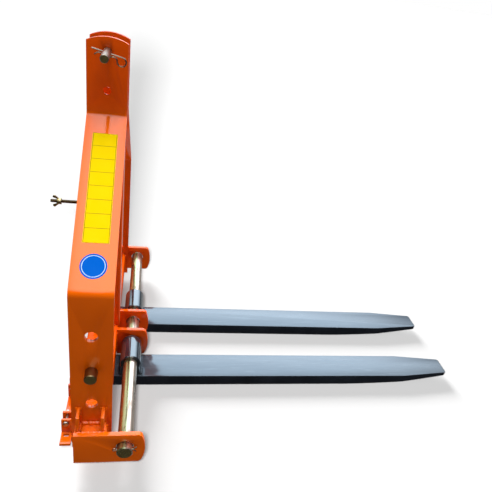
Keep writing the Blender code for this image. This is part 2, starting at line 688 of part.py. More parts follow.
def blade_undercut():
    """What is ground off the underside towards the tip, seen from the side."""
    start = FORK_TIP_X - FORK_UNDERCUT_LENGTH
    end = FORK_TIP_X + 0.01
    depth = FORK_THICK - FORK_TIP_THICK
    curve = []
    steps = 8
    for i in range(steps + 1):
        share = i / steps
        curve.append((start + share * FORK_UNDERCUT_LENGTH, FORK_BOTTOM_Z + depth * share**1.5))
    return [(start, FORK_BOTTOM_Z - 0.01)] + [(end, FORK_BOTTOM_Z - 0.01)] + [
        (end, FORK_BOTTOM_Z + depth)] + curve[::-1]


def make_blade(name, span):
    """A fork blade, a flat bar tapered in plan and from below at its tip."""
    middle = (span[0] + span[1]) / 2
    centre_z = FORK_TOP_Z - FORK_THICK / 2
    blade = slab([blade_plan(middle)], "XY", centre_z, FORK_THICK)
    cut(blade, slab([blade_undercut()], "XZ", middle, FORK_WIDTH + 0.02))
    return finish_part(blade, name, FORK_BLACK)


# ---------------------------------------------------------------- rear stud
def make_rear_stud():
    """The threaded stud that points to the tractor from the post's rear wall."""
    length = POST_REAR_X + POST_WALL + REAR_STUD_INSIDE - REAR_STUD_TIP_X
    chamfer = 0.0015
    radius = REAR_STUD_RADIUS
    profile = [(0, length), (radius - chamfer, length), (radius, length - chamfer),
               (radius, chamfer), (radius - chamfer, 0), (0, 0)]
    stud = turned(profile, "X", (REAR_STUD_TIP_X, 0, REAR_STUD_Z), 24)
    return finish_part(stud, "rear_stud", BRASSY_ZINC)


def make_rear_stud_nut(name, middle_x):
    """A nut that clamps the stud to the post's rear wall."""
    made = hex_nut("YZ", middle_x, STUD_NUT_THICK, (0, REAR_STUD_Z), STUD_NUT_ACROSS,
                   REAR_STUD_RADIUS + GAP)
    return finish_part(made, name, BRASSY_ZINC)


def make_wing_washer():
    """The loose washer in front of the wing nut."""
    made = washer("YZ", WING_WASHER_X, WING_WASHER_THICK, (0, REAR_STUD_Z), WING_WASHER_RADIUS,
                  REAR_STUD_RADIUS + GAP)
    return finish_part(made, "wing_nut_washer", BRASSY_ZINC)


def make_wing_nut():
    """The wing nut: a tapered hub with two flared wings."""
    start_x = WING_HUB_REAR_X
    bore = REAR_STUD_RADIUS + GAP
    profile = [(bore, WING_HUB_LENGTH), (WING_HUB_RADIUS, WING_HUB_LENGTH),
               (WING_HUB_RADIUS, WING_HUB_TAPER), (WING_HUB_REAR_RADIUS, 0), (bore, 0)]
    nut = turned(profile, "X", (start_x, 0, REAR_STUD_Z), 24, closed=True)
    root = WING_HUB_REAR_RADIUS - 2 * GAP
    for sense in (-1, 1):
        outline = [(start_x + 0.0075, root), (start_x + 0.0025, root)]
        outline += arc((start_x - 0.0045, 2 * root), 0.0038, 200, 20, 8)
        outline = [(x, REAR_STUD_Z + sense * z) for x, z in outline]
        cut(nut, slab([outline], "XZ", 0, WING_THICK), "UNION")
    return finish_part(nut, "wing_nut", BRASSY_ZINC)


# ---------------------------------------------------------------- assembly
def build_frame():
    """The welded frame."""
    make_beam()
    make_post()
    for name, side in SIDES.items():
        make_strap(name + "_strap", side)
        make_stub(name + "_beam_stub", side)
        make_lug(name + "_end_lug", STUB_REAR_X, END_LUG_OUTER_Y, side)
        make_lug(name + "_mid_lug", BEAM_FRONT_X + GAP, MID_LUG_OUTER_Y[name], side)
        make_gusset(name + "_rear_gusset", GUSSET_X[0], side)
        make_gusset(name + "_front_gusset", GUSSET_X[1], side)
        make_bracket(name, side)


def build_hitch_pins():
    """The pins that the tractor's three links take."""
    for name, side in SIDES.items():
        make_lower_pin(name + "_lower_pin", side)
        make_lower_pin_washer(name + "_lower_pin_washer", side)
        make_lower_pin_nut(name + "_lower_pin_nut", side)
    make_top_pin()
    make_top_clip()


def build_forks():
    """The shaft, its split pins and the two forks."""
    make_shaft()
    for name, side in SIDES.items():
        make_cotter(name + "_shaft_cotter", side)
        span = fork_span(name, side)
        make_eye_tube(name + "_fork_eye_tube", span)
        make_saddle(name + "_fork_saddle", span)
        make_blade(name + "_fork_blade", span)


def build_rear_stud():
    """The stud, its clamping nuts, and the wing nut with its washer."""
    make_rear_stud()
    half_nut = STUD_NUT_THICK / 2 + GAP
    make_rear_stud_nut("rear_stud_outer_nut", POST_REAR_X - half_nut)
    make_rear_stud_nut("rear_stud_inner_nut", POST_REAR_X + POST_WALL + half_nut)
    make_wing_washer()
    make_wing_nut()


clear_scene()
parts = new_collection(COLLECTION)
build_frame()
build_hitch_pins()
build_forks()
build_rear_stud()
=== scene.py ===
"""Looks for the pallet fork attachment: paint, zinc, weld beads, stickers, studio light and camera."""

import json
import math
import random

import bmesh
import bpy
from mathutils import Matrix, Vector

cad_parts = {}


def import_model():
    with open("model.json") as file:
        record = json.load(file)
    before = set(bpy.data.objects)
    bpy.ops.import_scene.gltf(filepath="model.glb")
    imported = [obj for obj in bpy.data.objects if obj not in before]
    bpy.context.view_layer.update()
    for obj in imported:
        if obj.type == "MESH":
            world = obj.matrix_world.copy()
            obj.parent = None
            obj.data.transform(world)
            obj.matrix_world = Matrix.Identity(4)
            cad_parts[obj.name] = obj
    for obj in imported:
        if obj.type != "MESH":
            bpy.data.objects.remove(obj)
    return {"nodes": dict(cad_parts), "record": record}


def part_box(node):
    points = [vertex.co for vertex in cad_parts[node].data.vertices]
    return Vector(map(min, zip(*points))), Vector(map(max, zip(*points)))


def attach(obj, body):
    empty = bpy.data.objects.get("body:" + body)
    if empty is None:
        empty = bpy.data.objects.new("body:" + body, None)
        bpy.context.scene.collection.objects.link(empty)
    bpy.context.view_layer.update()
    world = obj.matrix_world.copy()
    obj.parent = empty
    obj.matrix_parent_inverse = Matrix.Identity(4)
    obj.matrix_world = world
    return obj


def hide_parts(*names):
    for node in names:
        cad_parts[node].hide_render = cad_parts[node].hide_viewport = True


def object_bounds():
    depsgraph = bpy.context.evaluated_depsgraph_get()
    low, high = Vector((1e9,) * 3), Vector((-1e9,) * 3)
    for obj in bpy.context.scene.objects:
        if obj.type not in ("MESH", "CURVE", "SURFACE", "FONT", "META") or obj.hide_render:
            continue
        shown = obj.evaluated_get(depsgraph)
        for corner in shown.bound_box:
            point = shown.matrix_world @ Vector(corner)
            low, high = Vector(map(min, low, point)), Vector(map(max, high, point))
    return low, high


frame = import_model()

CAD_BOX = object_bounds()
NODES = frame["nodes"]
SIDES = {"right": -1, "left": 1}
rng = random.Random(7)

# ---------------------------------------------------------------- places taken from the frame
BEAM_LOW, BEAM_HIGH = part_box("lower_beam")
POST_LOW, POST_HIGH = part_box("centre_post")
STRAP_LOW, STRAP_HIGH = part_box("right_strap")
END_LUG_LOW, END_LUG_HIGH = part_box("right_end_lug")
REAR_RIB_LOW, REAR_RIB_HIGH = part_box("right_rear_gusset")
FRONT_RIB_LOW, FRONT_RIB_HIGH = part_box("right_front_gusset")
PLATE_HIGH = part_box("right_bracket_plate")[1]
STUD_LOW, STUD_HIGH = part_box("rear_stud")
BEAM_REAR_X, BEAM_FRONT_X = BEAM_LOW.x, BEAM_HIGH.x

STRAP_THICK = 0.008
STRAP_LOWER_Y = -STRAP_LOW.y          # outer face of the lower stretch
STRAP_INNER_Y = STRAP_LOWER_Y - STRAP_THICK
STRAP_UPPER_Y = STRAP_THICK - STRAP_HIGH.y
STRAP_X = (STRAP_LOW.x + STRAP_HIGH.x) / 2
LOWER_BEND_DROP, UPPER_BEND_DROP = 0.380, 0.150      # the strap's bends, below its top
STRAP_LOWER_BEND_Z = STRAP_HIGH.z - LOWER_BEND_DROP
STRAP_UPPER_BEND_Z = STRAP_HIGH.z - UPPER_BEND_DROP
BEAM_TOP_Z = BEAM_HIGH.z
END_LUG_INNER_Y = -END_LUG_HIGH.y
FOOT_Z = END_LUG_LOW.z

# ---------------------------------------------------------------- looks
ORANGE_NEAR = (0.80, 0.122, 0.001)     # painted warm light: the nearer, right-hand parts are tinted yellower, as warmer light from the front would
ORANGE_FAR = (0.80, 0.088, 0.001)
WARM_LIGHT_SPAN = ("Y", -0.32, -0.20)        # the near tone gives way to the far one between these
# on the strap the painted warm tint stops below the top plates
STRAP_WARM_SPAN = ("Z", FOOT_Z + 0.615, FOOT_Z + 0.66)
BLACK = (0.008, 0.010, 0.014)
# painted sheen: the paler blue-grey given to the blades' upward faces
BLADE_TOP_SHEEN = (0.045, 0.056, 0.070)
END_TONE = (0.48, 0.38, 0.15)          # sawn ends of the pins and the shaft
STICKER_YELLOW = (0.62, 0.44, 0.0)
STICKER_BLUE = (0.0, 0.080, 0.40)

EDGE_WIDTH = {"orange_paint": 0.0009, "black_paint": 0.0008}
HARDWARE_EDGE = 0.0003
MERGE_DISTANCE = 0.00001
FLAT_ANGLE, BEVEL_ANGLE = math.radians(0.5), math.radians(35)
SMOOTH_ANGLE, PIECE_SMOOTH_ANGLE = math.radians(32), math.radians(40)
ROUND_PIECES = ("cotter", "clip", "shaft", "eye_tube", "lower_pin", "top_link", "stud")

# ---------------------------------------------------------------- weld beads and stickers, m
HEAVY_BEAD, FAT_BEAD, THIN_BEAD = 0.0052, 0.0030, 0.0022
SADDLE_REAR_BEAD, SADDLE_FRONT_BEAD = 0.0018, 0.0034
BEAD_SIDES = 8
BEAD_STEP, BEAD_WAVE = 0.45, 0.42      # of the bead's radius
BEAD_RIPPLE, BEAD_ROUGHNESS = 0.13, 0.07
BEAD_SINK = FAT_BEAD * 0.25            # how far a bead's middle lies off the faces it joins
BEAD_TOP_Z = BEAM_TOP_Z + BEAD_SINK
TUBE_CORNER = 0.004                    # beads on the beam stop short of its rounded corners
THREAD_PITCH = 0.00125
THREAD_SIDES, THREAD_STEPS = 24, 4     # points round the rod, and rings in one turn
THREAD_DEPTH = 0.55 * THREAD_PITCH
PANEL_WIDTH, PANEL_LENGTH, PANEL_CORNER = 0.0485, 0.2390, 0.001
PANEL_CELLS = 8
PANEL_MARGIN, PANEL_LINE = 0.0015, 0.00055
PANEL_DOWN, PANEL_ACROSS = 0.1655, 0.0005      # its middle, from the middle of the upper bend
DISC_RADIUS, DISC_RING_RADIUS, DISC_RING_LINE = 0.0243, 0.0205, 0.0006
DISC_SIDES = 48
DISC_DOWN = 0.3300
STICKER_THICK, STICKER_LIFT = 0.00015, 0.00005

# ---------------------------------------------------------------- light
OVERHEAD = 6.6          # the large soft box above, W/m2
SIDE = 1.6              # a weaker one at the front, low down
FLOOR_BOUNCE = 0.70     # what the floor throws back on the object
AMBIENT = 0.15
BACKGROUND_GREY = (0.8, 0.8, 0.8)
FLOOR_ALBEDO = 0.25     # low, so that little orange shows in it; its own lights make it white
FLOOR_GLOW = 0.19
FLOOR_LAMP, FLOOR_SUN = 66.0, 13.0
SOFT_BOX_WIDTH, FLOOR_SUN_WIDTH = 40.0, 24.0               # degrees across
LAMP_LEFT, LAMP_ABOVE, LAMP_SIZE = 0.072, 0.035, 0.070     # from the camera, m
FLOOR_HALF, FLOOR_DROP = 30.0, 0.0005

# What the object mirrors: a direction, the cosines from it where the patch starts and is full, a strength
CEILING_PATCH = ((0, 0.3, 1.0), 0.35, 0.80, 1.1)
FRONT_PATCH = ((0, -0.40, 0.91), 0.80, 0.95, 3.2)
WINDOW_PATCH = ((0.12, 0.74, 0.66), 0.70, 0.98, 2.75)
WINDOW_TONE = (0.80, 0.97, 1.15)
LEAST_MIRRORED = 0.03

# ---------------------------------------------------------------- camera, as the object is viewed
CAMERA_PLACE = (STRAP_X + 0.0840, -1.0958, FOOT_Z + 0.9463)
CAMERA_YAW = math.radians(13.17)
CAMERA_PITCH = math.radians(-29.17)
CAMERA_ROLL = math.radians(9.39)
CAMERA_LENS = 37.29
CAMERA_SENSOR = 36.0


# ---------------------------------------------------------------- node helpers
class Nodes:
    """A node tree under construction, with short calls to add and join nodes."""

    def __init__(self, tree):
        self.tree = tree

    def add(self, kind, **settings):
        """Add a node and set its properties."""
        node = self.tree.nodes.new("ShaderNode" + kind)
        for key, value in settings.items():
            setattr(node, key, value)
        return node

    def join(self, output, target):
        """Link an output socket to an input socket."""
        self.tree.links.new(output, target)

    def math(self, operation, first, second=0.0, clamp=False):
        """One math operation on sockets or numbers."""
        node = self.add("Math", operation=operation, use_clamp=clamp)
        for value, index in ((first, 0), (second, 1)):
            if hasattr(value, "links"):
                self.join(value, node.inputs[index])
            else:
                node.inputs[index].default_value = value
        return node.outputs["Value"]

    def remap(self, value, low, high, start=0.0, end=1.0, kind="LINEAR"):
        """Map low..high to start..end, held at both ends."""
        node = self.add("MapRange", clamp=True, interpolation_type=kind)
        for name, number in (("From Min", low), ("From Max", high), ("To Min", start), ("To Max", end)):
            node.inputs[name].default_value = number
        self.join(value, node.inputs["Value"])
        return node.outputs["Result"]

    def split(self, vector):
        """The X, Y and Z of a vector."""
        node = self.add("SeparateXYZ")
        self.join(vector, node.inputs["Vector"])
        return node.outputs

    def dot(self, first, second):
        """The dot product of a socket with a socket or a plain vector."""
        node = self.add("VectorMath", operation="DOT_PRODUCT")
        self.join(first, node.inputs[0])
        if hasattr(second, "links"):
            self.join(second, node.inputs[1])
        else:
            node.inputs[1].default_value = second
        return node.outputs["Value"]


class Shader(Nodes):
    """A material with a Principled surface."""

    def __init__(self, name):
        self.material = bpy.data.materials.new(name)
        self.material.use_nodes = True
        super().__init__(self.material.node_tree)
        self.principled = self.tree.nodes["Principled BSDF"]

    def set(self, **values):
        """Set Principled inputs by name, with _ for a space."""
        for key, value in values.items():
            self.principled.inputs[key.replace("_", " ")].default_value = value

    def coords(self):
        """The place in the object's own space."""
        return self.add("TexCoord").outputs["Object"]

    def along(self, axis, low, high):
        """0 below one coordinate in the object's space, 1 above another."""
        return self.remap(self.split(self.coords())[axis], low, high, kind="SMOOTHSTEP")

    def noise(self, scale, detail=3.0, stretch=None):
        """A noise texture in object space, stretched along the axes if asked."""
        source = self.coords()
        if stretch:
            mapping = self.add("Mapping")
            mapping.inputs["Scale"].default_value = stretch
            self.join(source, mapping.inputs["Vector"])
            source = mapping.outputs["Vector"]
        noise = self.add("TexNoise")
        noise.inputs["Scale"].default_value = scale
        noise.inputs["Detail"].default_value = detail
        noise.inputs["Roughness"].default_value = 0.55
        self.join(source, noise.inputs["Vector"])
        return noise.outputs["Fac"]

    def ramp(self, source, stops):
        """A colour ramp through (position, colour) stops."""
        node = self.add("ValToRGB")
        elements = node.color_ramp.elements
        while len(elements) < len(stops):
            elements.new(0.5)
        for element, (place, colour) in zip(elements, stops):
            element.position = place
            element.color = (*colour, 1.0)
        self.join(source, node.inputs["Fac"])
        return node.outputs["Color"]

    def mix(self, factor, first, second, blend="MIX"):
        """Mix two colours; each argument is a socket or a plain value."""
        node = self.add("Mix", data_type="RGBA", blend_type=blend)
        for value, index in ((factor, 0), (first, 6), (second, 7)):
            if hasattr(value, "links"):
                self.join(value, node.inputs[index])
            elif index == 0:
                node.inputs[index].default_value = value
            else:
                node.inputs[index].default_value = (*value, 1.0)
        return node.outputs[2]

    def bump(self, height, strength, distance, after=None):
        """Add a bump to the surface normal, on top of an earlier one if given."""
        node = self.add("Bump")
        node.inputs["Strength"].default_value = strength
        node.inputs["Distance"].default_value = distance
        self.join(height, node.inputs["Height"])
        if after:
            self.join(after, node.inputs["Normal"])
        return node.outputs["Normal"]

    def local_normal(self):
        """The face normal's X, Y and Z in the object's own space."""
        turn = self.add("VectorTransform", vector_type="NORMAL", convert_from="WORLD",
                        convert_to="OBJECT")
        self.join(self.add("NewGeometry").outputs["Normal"], turn.inputs["Vector"])
        return self.split(turn.outputs["Vector"])

    def edge_mask(self, radius, low, high):
        """1 where the surface bends sharply within the radius, 0 on flat areas."""
        rounded = self.add("Bevel", samples=4)
        rounded.inputs["Radius"].default_value = radius
        kept = self.dot(rounded.outputs["Normal"], self.add("NewGeometry").outputs["Normal"])
        return self.remap(kept, high, low)


def orange_paint(name="orange_paint", ripple=False, gloss=1.0, warm_span=WARM_LIGHT_SPAN):
    """Glossy orange powder coat with a faint orange-peel texture and lighter edges; the nearer parts get
    a painted warm tint, as from warmer light.
    """
    look = Shader(name)
    # painted warm light: the base runs from the yellower near tone to the redder far one
    base = look.mix(look.along(*warm_span), ORANGE_NEAR, ORANGE_FAR)
    cloud = look.ramp(look.noise(7.0, 3.0), [(0.30, (0.88, 0.84, 0.88)), (0.62, (1, 1, 1))])
    base = look.mix(1.0, base, cloud, "MULTIPLY")
    edge = look.edge_mask(0.0016, 0.80, 0.985)
    base = look.mix(look.math("MULTIPLY", edge, 0.35), base, (0.95, 0.22, 0.03))
    speck = look.ramp(look.noise(420.0, 2.0), [(0.70, (0, 0, 0)), (0.78, (1, 1, 1))])
    base = look.mix(look.math("MULTIPLY", speck, 0.10), base, (0.30, 0.04, 0.01))
    look.join(base, look.principled.inputs["Base Color"])
    look.join(look.remap(look.noise(30.0), 0, 1, 0.06, 0.11), look.principled.inputs["Coat Roughness"])
    look.set(Roughness=0.5, Specular_IOR_Level=0.0, Coat_Weight=gloss, Coat_IOR=1.5)
    normal = look.bump(look.noise(650.0, 1.0), 0.10, 0.0003)
    normal = look.bump(look.noise(55.0, 2.0), 0.12, 0.0006, normal)
    if ripple:
        normal = look.bump(look.noise(900.0, 3.0), 0.35, 0.0006, normal)
    look.join(normal, look.principled.inputs["Normal"])
    return look.material


def black_paint():
    """Glossy blue-black paint of the forks; the upward faces are painted a paler blue-grey as a sheen,
    with scuffs in it.
    """
    look = Shader("black_paint")
    # painted sheen: faces that point up get a paler, streaked blue-grey and a stronger specular
    top = look.remap(look.local_normal()["Z"], 0.80, 0.99)
    upward_sheen_and_scuffs = look.ramp(look.noise(9.0, 5.0, (0.6, 5.0, 1.0)),
                        [(0.25, (0.030, 0.038, 0.050)), (0.55, BLADE_TOP_SHEEN), (0.85, (0.065, 0.080, 0.098))])
    scuff = look.ramp(look.noise(60.0, 4.0, (0.25, 3.0, 1.0)), [(0.58, (0, 0, 0)), (0.72, (1, 1, 1))])
    upward_sheen_and_scuffs = look.mix(look.math("MULTIPLY", scuff, 0.25), upward_sheen_and_scuffs, (0.12, 0.14, 0.16))
    side = look.ramp(look.noise(14.0, 4.0), [(0.3, BLACK), (0.8, (0.018, 0.022, 0.030))])
    base = look.mix(top, side, upward_sheen_and_scuffs)
    edge = look.edge_mask(0.0012, 0.85, 0.99)
    base = look.mix(look.math("MULTIPLY", edge, 0.12), base, (0.30, 0.36, 0.42))
    look.join(base, look.principled.inputs["Base Color"])
    rough = look.remap(look.noise(22.0, 4.0, (0.3, 2.0, 1.0)), 0, 1, 0.08, 0.14)
    look.join(rough, look.principled.inputs["Roughness"])
    look.join(look.remap(top, 0, 1, 0.3, 1.0), look.principled.inputs["Specular IOR Level"])
    look.set(Coat_Weight=0.4, Coat_Roughness=0.10, Specular_Tint=(0.70, 0.88, 1.0, 1.0))
    grain = look.noise(300.0, 2.0, (0.4, 1.0, 1.0))
    look.join(look.bump(grain, 0.02, 0.0003), look.principled.inputs["Normal"])
    return look.material


def tube_paint(name="tube_paint", gloss=1.0):
    """The same black paint on the eye tubes and saddles, without scuffs or the painted sheen on upward
    faces.
    """
    look = Shader(name)
    base = look.ramp(look.noise(25.0, 4.0), [(0.3, BLACK), (0.8, (0.022, 0.028, 0.038))])
    edge = look.edge_mask(0.0012, 0.85, 0.99)
    base = look.mix(look.math("MULTIPLY", edge, 0.10), base, (0.30, 0.36, 0.42))
    look.join(base, look.principled.inputs["Base Color"])
    look.set(Roughness=0.16, Specular_IOR_Level=gloss, Coat_Weight=gloss, Coat_Roughness=0.06,
             Coat_IOR=1.7, Specular_Tint=(0.70, 0.92, 1.0, 1.0))
    look.join(look.bump(look.noise(120.0, 2.0), 0.10, 0.0004), look.principled.inputs["Normal"])
    return look.material


def zinc(name, stops, roughness, streak=(1.0, 1.0, 1.0), tint=0.6, tone=(1.0, 1.0, 1.0), stain=0.2,
         metal=1.0):
    """Zinc-plated steel with a colour ramp across the part as seen from the camera: passivation colours
    with painted highlights and painted shade in them; dull on the ends.
    """
    look = Shader(name)
    # painted highlight and shade: the ramp is read by how the face turns, left to right, in the camera's
    # view
    turn = look.add("VectorTransform", vector_type="NORMAL", convert_from="WORLD", convert_to="CAMERA")
    look.join(look.add("NewGeometry").outputs["Normal"], turn.inputs["Vector"])
    across = look.remap(look.split(turn.outputs["Vector"])["X"], -1, 1)
    drift = look.math("SUBTRACT", look.noise(40.0, 4.0, streak), 0.5)
    place = look.math("ADD", across, look.math("MULTIPLY", drift, 0.22), clamp=True)
    passivation_and_painted_sheen = look.ramp(place, stops)
    patina = look.ramp(look.noise(18.0, 5.0, streak), [(0.35, stops[0][1]), (0.65, stops[-1][1])])
    base = look.mix(1.0, look.mix(1.0 - tint, passivation_and_painted_sheen, patina), tone, "MULTIPLY")
    stains = look.ramp(look.noise(130.0, 3.0, streak), [(0.54, (0, 0, 0)), (0.66, (1, 1, 1))])
    base = look.mix(look.math("MULTIPLY", stains, stain), base, (0.14, 0.085, 0.04))
    end = look.math("GREATER_THAN", look.math("ABSOLUTE", look.local_normal()["Y"]), 0.97)
    base = look.mix(end, base, END_TONE)
    look.join(base, look.principled.inputs["Base Color"])
    look.set(Metallic=metal)
    rough = look.remap(look.noise(90.0, 3.0, streak), 0, 1, roughness - 0.08, roughness + 0.12)
    look.join(rough, look.principled.inputs["Roughness"])
    look.join(look.bump(look.noise(500.0, 2.0), 0.08, 0.0002), look.principled.inputs["Normal"])
    return look.material


def yellow_zinc():
    """Yellow passivated zinc: gold-brown sides darkened as painted shade, round a painted white, green
    and pink highlight.
    """
    stops = [(0.0, (0.22, 0.17, 0.12)), (0.22, (0.42, 0.34, 0.18)), (0.34, (0.60, 0.66, 0.26)),
             (0.42, (0.32, 0.24, 0.11)), (0.50, (0.34, 0.44, 0.18)), (0.60, (0.37, 0.40, 0.27)),
             (0.70, (0.92, 0.62, 0.54)), (0.82, (0.98, 0.78, 0.64)), (1.0, (0.55, 0.47, 0.39))]
    return zinc("yellow_zinc", stops, 0.26, (1.0, 0.12, 1.0), 0.85, stain=0.75, metal=0.93)


def white_zinc():
    """Bright zinc plate, with a painted cream highlight left of the middle and painted shade towards the
    right, as seen from the camera.
    """
    stops = [(0.0, (0.55, 0.50, 0.40)), (0.30, (0.98, 0.95, 0.85)), (0.60, (0.98, 0.92, 0.78)),
             (0.80, (0.40, 0.34, 0.25)), (1.0, (0.20, 0.17, 0.13))]
    return zinc("white_zinc", stops, 0.32, tint=0.25)


def brassy_zinc(name="brassy_zinc", tone=(1.0, 1.0, 1.0)):
    """Yellow zinc plate on small hardware, with a painted highlight right of the middle and painted shade
    at the sides, as seen from the camera.
    """
    stops = [(0.0, (0.30, 0.22, 0.09)), (0.5, (0.78, 0.66, 0.32)), (0.75, (0.92, 0.86, 0.62)),
             (1.0, (0.40, 0.33, 0.16))]
    return zinc(name, stops, 0.34, tone=tone)


def ruled_cells(look, base):
    """Thin dark lines across and along the panel, drawn over a base colour."""
    place = look.split(look.coords())
    cells = PANEL_CELLS / PANEL_LENGTH
    from_end = look.math("ADD", place["Y"], PANEL_LENGTH / 2)
    phase = look.math("FRACT", look.math("MULTIPLY", from_end, cells))
    near = look.math("MINIMUM", phase, look.math("SUBTRACT", 1.0, phase))
    ruled = look.math("LESS_THAN", near, PANEL_LINE * cells)
    side = look.math("SUBTRACT", PANEL_WIDTH / 2, look.math("ABSOLUTE", place["X"]))
    off = look.math("ABSOLUTE", look.math("SUBTRACT", side, PANEL_MARGIN))
    border = look.math("LESS_THAN", off, PANEL_LINE)
    inside = look.math("GREATER_THAN", side, PANEL_MARGIN)
    ink = look.math("MAXIMUM", look.math("MULTIPLY", ruled, inside), border)
    return look.mix(look.math("MULTIPLY", ink, 0.75), base, (0.10, 0.08, 0.01))


def thin_ring(look, base):
    """A thin pale ring near the disc's rim, drawn over a base colour."""
    length = look.add("VectorMath", operation="LENGTH")
    look.join(look.coords(), length.inputs[0])
    off = look.math("ABSOLUTE", look.math("SUBTRACT", length.outputs["Value"], DISC_RING_RADIUS))
    ring = look.math("LESS_THAN", off, DISC_RING_LINE)
    return look.mix(look.math("MULTIPLY", ring, 0.75), base, (0.55, 0.70, 0.90))


def sticker(name, colour, print_over):
    """Printed vinyl: one colour, with a plain pattern printed over it."""
    look = Shader(name)
    base = look.mix(look.noise(30.0), colour, tuple(min(1.0, c * 1.06 + 0.004) for c in colour))
    look.join(print_over(look, base), look.principled.inputs["Base Color"])
    look.set(Roughness=0.6, Specular_IOR_Level=0.0)
    look.join(look.bump(look.noise(200.0, 1.0), 0.05, 0.0002), look.principled.inputs["Normal"])
    return look.material


def floor_material():
    """A pale matt floor. The object sees it as an even glow, its reflections as a dim one."""
    look = Shader("floor")
    tone = look.mix(look.noise(3.0), (FLOOR_ALBEDO,) * 3, (FLOOR_ALBEDO * 1.02,) * 3)
    look.join(tone, look.principled.inputs["Base Color"])
    look.set(Roughness=0.9, Specular_IOR_Level=0.0, Emission_Color=(1, 1, 1, 1),
             Emission_Strength=FLOOR_GLOW)
    rays = look.add("LightPath")
    seen_from = look.split(look.add("NewGeometry").outputs["Incoming"])
    mirrored = look.remap(seen_from["Y"], 0.1, -0.5, 0.02, 0.35)
    strength = look.add("Mix", data_type="FLOAT")
    strength.inputs["A"].default_value = FLOOR_BOUNCE
    look.join(rays.outputs["Is Glossy Ray"], strength.inputs["Factor"])
    look.join(mirrored, strength.inputs["B"])
    glow = look.add("Emission")
    look.join(strength.outputs["Result"], glow.inputs["Strength"])
    mix = look.add("MixShader")
    look.join(rays.outputs["Is Camera Ray"], mix.inputs["Fac"])
    look.join(glow.outputs["Emission"], mix.inputs[1])
    look.join(look.principled.outputs["BSDF"], mix.inputs[2])
    look.join(mix.outputs["Shader"], look.tree.nodes["Material Output"].inputs["Surface"])
    return look.material


# ---------------------------------------------------------------- finish of the CAD nodes
def smooth_group():
    """A node group that welds the imported triangles and shades them smooth up to an angle."""
    group = bpy.data.node_groups.new("smooth_by_angle", "GeometryNodeTree")
    group.interface.new_socket("Geometry", in_out="INPUT", socket_type="NodeSocketGeometry")
    group.interface.new_socket("Geometry", in_out="OUTPUT", socket_type="NodeSocketGeometry")
    start = group.nodes.new("NodeGroupInput")
    end = group.nodes.new("NodeGroupOutput")
    weld = group.nodes.new("GeometryNodeMergeByDistance")
    weld.inputs["Distance"].default_value = MERGE_DISTANCE
    faces = group.nodes.new("GeometryNodeSetShadeSmooth")
    faces.domain = "FACE"
    edges = group.nodes.new("GeometryNodeSetShadeSmooth")
    edges.domain = "EDGE"
    edges.inputs["Shade Smooth"].default_value = False
    angle = group.nodes.new("GeometryNodeInputMeshEdgeAngle")
    sharp = group.nodes.new("FunctionNodeCompare")
    sharp.data_type = "FLOAT"
    sharp.operation = "GREATER_THAN"
    sharp.inputs[1].default_value = SMOOTH_ANGLE
    group.links.new(start.outputs[0], weld.inputs["Geometry"])
    group.links.new(weld.outputs["Geometry"], faces.inputs["Geometry"])
    group.links.new(faces.outputs["Geometry"], edges.inputs["Geometry"])
    group.links.new(angle.outputs["Unsigned Angle"], sharp.inputs[0])
    group.links.new(sharp.outputs["Result"], edges.inputs["Selection"])
    group.links.new(edges.outputs["Geometry"], end.inputs[0])
    return group


SMOOTH = smooth_group()


def soften(obj, width):
    """Weld, dissolve flat areas, round the edges and shade smooth, all as modifiers."""
    mesh = obj.data
    if "custom_normal" in mesh.attributes:
        mesh.attributes.remove(mesh.attributes["custom_normal"])
    weld = obj.modifiers.new("Weld", "WELD")
    weld.merge_threshold = MERGE_DISTANCE
    if width:
        flat = obj.modifiers.new("Flat", "DECIMATE")
        flat.decimate_type = "DISSOLVE"
        flat.angle_limit = FLAT_ANGLE
        bevel = obj.modifiers.new("Bevel", "BEVEL")
        bevel.width = width
        bevel.segments = 2
        bevel.limit_method = "ANGLE"
        bevel.angle_limit = BEVEL_ANGLE
        bevel.use_clamp_overlap = True
    smooth = obj.modifiers.new("Smooth", "NODES")
    smooth.node_group = SMOOTH


def dress_nodes():
    """Give every CAD node its material and its edge rounding."""
    looks = {"orange_paint": orange_paint(), "black_paint": black_paint(),
             "yellow_zinc": yellow_zinc(), "white_zinc": white_zinc(),
             "brassy_zinc": brassy_zinc()}
    tube = tube_paint()
    special = {"lower_beam": orange_paint("beam_paint", gloss=0.15),
               "right_strap": orange_paint("strap_paint", warm_span=STRAP_WARM_SPAN),
               "right_lower_pin": brassy_zinc("pin_zinc", (0.50, 0.42, 0.34))}
    special["left_lower_pin"] = special["right_lower_pin"]
    for entry in frame["record"]["subparts"]:
        node = NODES[entry["node"]]
        look = looks[entry["material_slot"]]
        if entry["node"].endswith(("_eye_tube", "_saddle")):
            look = tube
        look = special.get(entry["node"], look)
        node.data.materials.clear()
        node.data.materials.append(look)
        round_piece = any(word in entry["node"] for word in ROUND_PIECES)
        width = 0 if round_piece else EDGE_WIDTH.get(entry["material_slot"], HARDWARE_EDGE)
        soften(node, width)


# ---------------------------------------------------------------- new pieces
def mesh_piece(name, verts, faces, material, body, place=None):
    """A piece from vertices and faces, which rides on a body."""
    mesh = bpy.data.meshes.new(name)
    mesh.from_pydata([tuple(v) for v in verts], [], faces)
    work = bmesh.new()
    work.from_mesh(mesh)
    bmesh.ops.recalc_face_normals(work, faces=work.faces)
    work.to_mesh(mesh)
    work.free()
    mesh.shade_smooth()
    mesh.set_sharp_from_angle(angle=PIECE_SMOOTH_ANGLE)
    mesh.materials.append(material)
    piece = bpy.data.objects.new(name, mesh)
    if place:
        piece.matrix_world = place
    bpy.context.scene.collection.objects.link(piece)
    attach(piece, body)
    return piece


